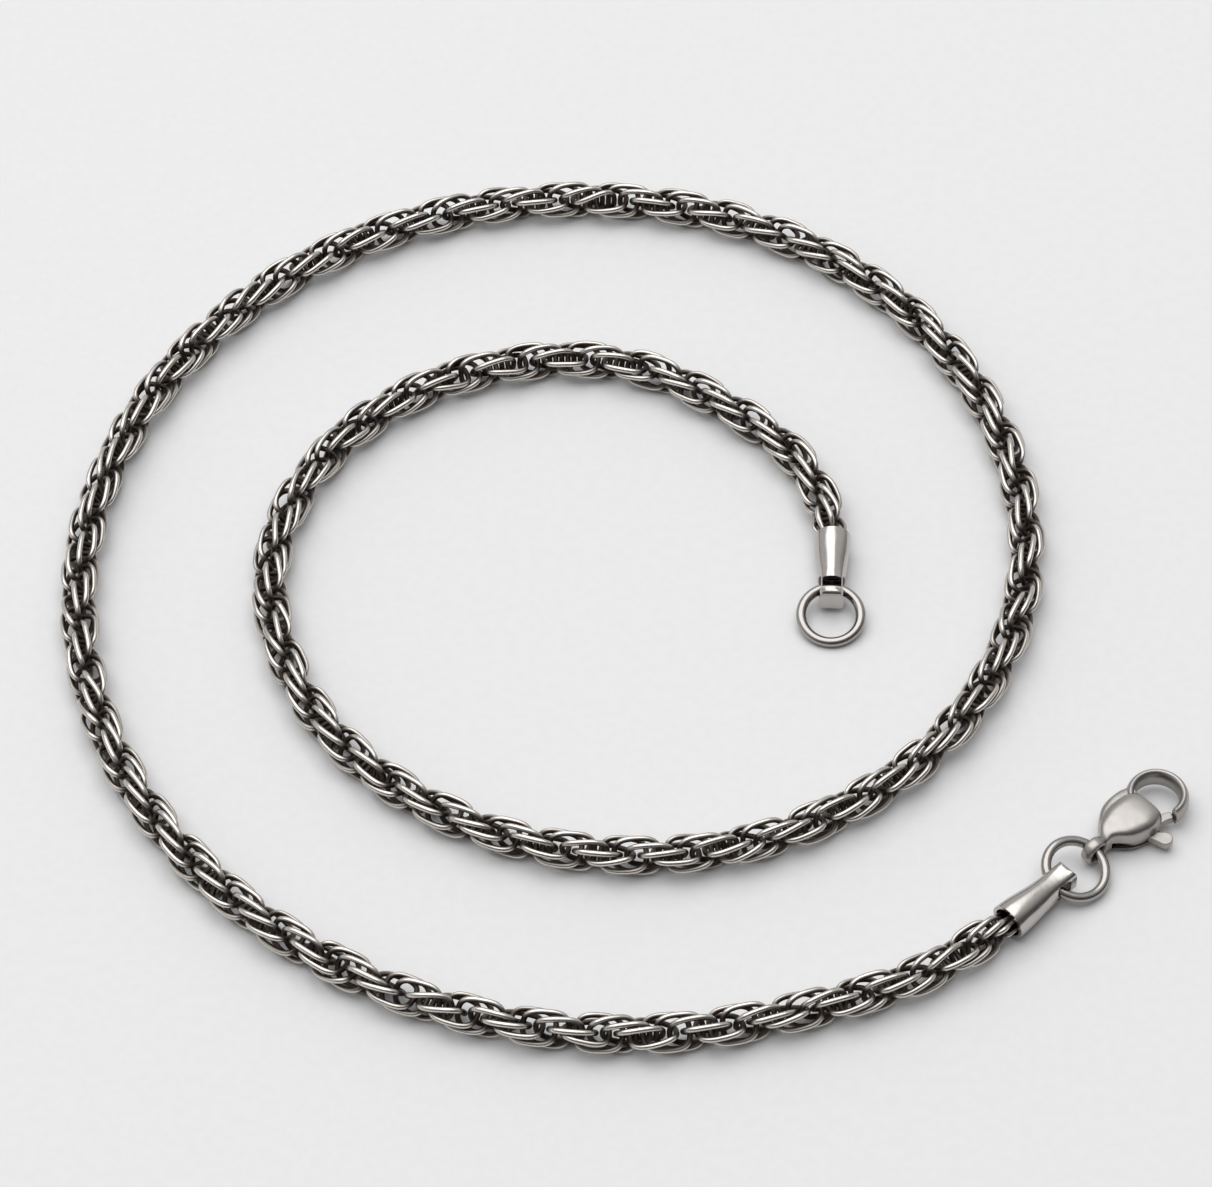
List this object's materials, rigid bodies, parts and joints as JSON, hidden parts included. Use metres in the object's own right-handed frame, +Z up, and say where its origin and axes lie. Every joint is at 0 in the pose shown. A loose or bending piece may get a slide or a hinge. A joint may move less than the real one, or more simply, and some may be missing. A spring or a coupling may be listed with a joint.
{
  "type": "rope chain necklace",
  "caption": "Rope chain necklace of interlocked wire links with tube end caps, jump rings and a lobster clasp, lying in a loose spiral.",
  "frame": {"origin": "middle of the bounding box in plan, on the surface that the necklace lies on", "axes": "+Z up from the surface; +X and +Y in the surface, with the view of the picture looking along +Y and down"},
  "size_m": [0.1099, 0.1085, 0.0039],
  "materials": {
    "oxidised_links": "polished highs over blackened recesses",
    "polished_steel": "polished, slightly satin"
  },
  "bodies": {
    "necklace": {"chain": "oxidised_links", "outer_end_cap": "polished_steel", "inner_end_cap": "polished_steel", "clasp_ring": "polished_steel", "end_ring": "polished_steel", "clasp_body": "polished_steel", "clasp_pivot": "polished_steel"},
    "lever": {"clasp_lever": "polished_steel"}
  },
  "joints": [
    {"name": "lever_hinge", "type": "hinge", "parent": "necklace", "child": "lever", "pos_m": [0.04743, -0.02946, 0.00118], "axis": [0, 0, 1], "range_deg": [0, 22], "stiffness_Nm_per_rad": 0.0005, "springref_deg": -17.19}
  ]
}
